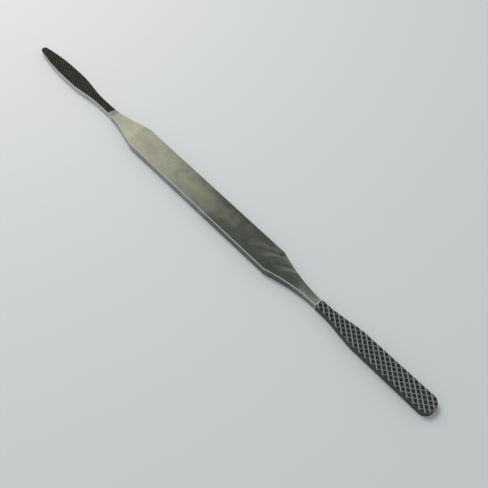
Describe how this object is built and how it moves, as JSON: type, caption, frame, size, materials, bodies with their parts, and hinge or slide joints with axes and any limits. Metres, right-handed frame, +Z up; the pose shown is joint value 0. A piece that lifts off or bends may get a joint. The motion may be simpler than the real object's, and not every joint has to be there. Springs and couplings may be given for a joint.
{
  "type": "double-ended hand file",
  "caption": "Flat-handled steel hand file with a fine cross-cut lancet blade at one end and a coarse round-ended cross-cut rasp at the other.",
  "frame": {"origin": "under the middle of the tool's overall length, on the surface that the handle lies on", "axes": "+X along the tool from the fine file to the coarse rasp, +Y across the handle, +Z up out of its upper face"},
  "size_m": [0.178, 0.0088, 0.0031],
  "materials": {
    "handle_steel": "satin ground, faintly stained",
    "fine_file_steel": "dark cut faces, bright ground sides",
    "coarse_rasp_steel": "dark hardened steel, cut faces",
    "braze": "satin silver braze"
  },
  "bodies": {
    "root": {"handle_bar": "handle_steel", "fine_file": "fine_file_steel", "coarse_rasp": "coarse_rasp_steel", "fine_joint_braze": "braze", "coarse_joint_braze": "braze"}
  },
  "joints": []
}
